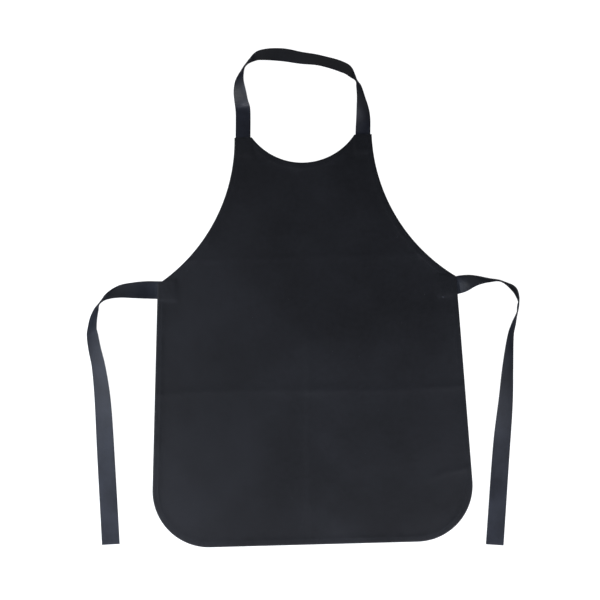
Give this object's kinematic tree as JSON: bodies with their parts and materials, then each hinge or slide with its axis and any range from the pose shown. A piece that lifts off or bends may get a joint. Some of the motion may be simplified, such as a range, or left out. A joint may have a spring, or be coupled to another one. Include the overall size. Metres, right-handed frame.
{
  "type": "artist smock apron",
  "caption": "Bib apron in dark coated cloth with a neck loop, curved armholes, rounded bottom corners and waist ties, lying flat.",
  "frame": {"origin": "middle of the panel's back, on the centre line, half way between the ear tops of the bib and the bottom edge, on the plane that the apron lies on", "axes": "+X to the apron's side at the right of a front view, +Y up towards the neck loop, +Z out of the front face"},
  "size_m": [1.0443, 1.2136, 0.0433],
  "materials": {
    "coated_cloth": "soft low gloss, coated, near black with a navy cast",
    "strap_cloth": "the same coated cloth folded into a flat band",
    "thread": "matte polyester sewing thread, near black"
  },
  "bodies": {
    "apron": {"front_panel": "coated_cloth", "neck_strap_end_left": "strap_cloth", "neck_strap_end_right": "strap_cloth", "waist_tie_end_left": "strap_cloth", "waist_tie_end_right": "strap_cloth", "neckline_stitching": "thread", "armhole_stitching_left": "thread", "armhole_stitching_right": "thread", "ear_stitching_left": "thread", "ear_stitching_right": "thread", "side_and_bottom_stitching": "thread", "neck_strap_box_stitch_left": "thread", "neck_strap_box_stitch_right": "thread", "waist_tie_box_stitch_left": "thread", "waist_tie_box_stitch_right": "thread"},
    "neck_loop": {"neck_strap": "strap_cloth", "neck_strap_stitching": "thread"},
    "left_tie": {"waist_tie_left": "strap_cloth", "waist_tie_left_stitching": "thread"},
    "right_tie": {"waist_tie_right": "strap_cloth", "waist_tie_right_stitching": "thread"}
  },
  "joints": [
    {"name": "neck_strap_fold", "type": "hinge", "parent": "apron", "child": "neck_loop", "pos_m": [0, 0.4935, 0.0009], "axis": [1, 0, 0], "range_deg": [-140, 140]},
    {"name": "left_tie_fold", "type": "hinge", "parent": "apron", "child": "left_tie", "pos_m": [-0.363, 0.1225, 0.0009], "axis": [0, 1, 0], "range_deg": [-140, 140]},
    {"name": "right_tie_fold", "type": "hinge", "parent": "apron", "child": "right_tie", "pos_m": [0.363, 0.1225, 0.0009], "axis": [0, -1, 0], "range_deg": [-140, 140]}
  ]
}
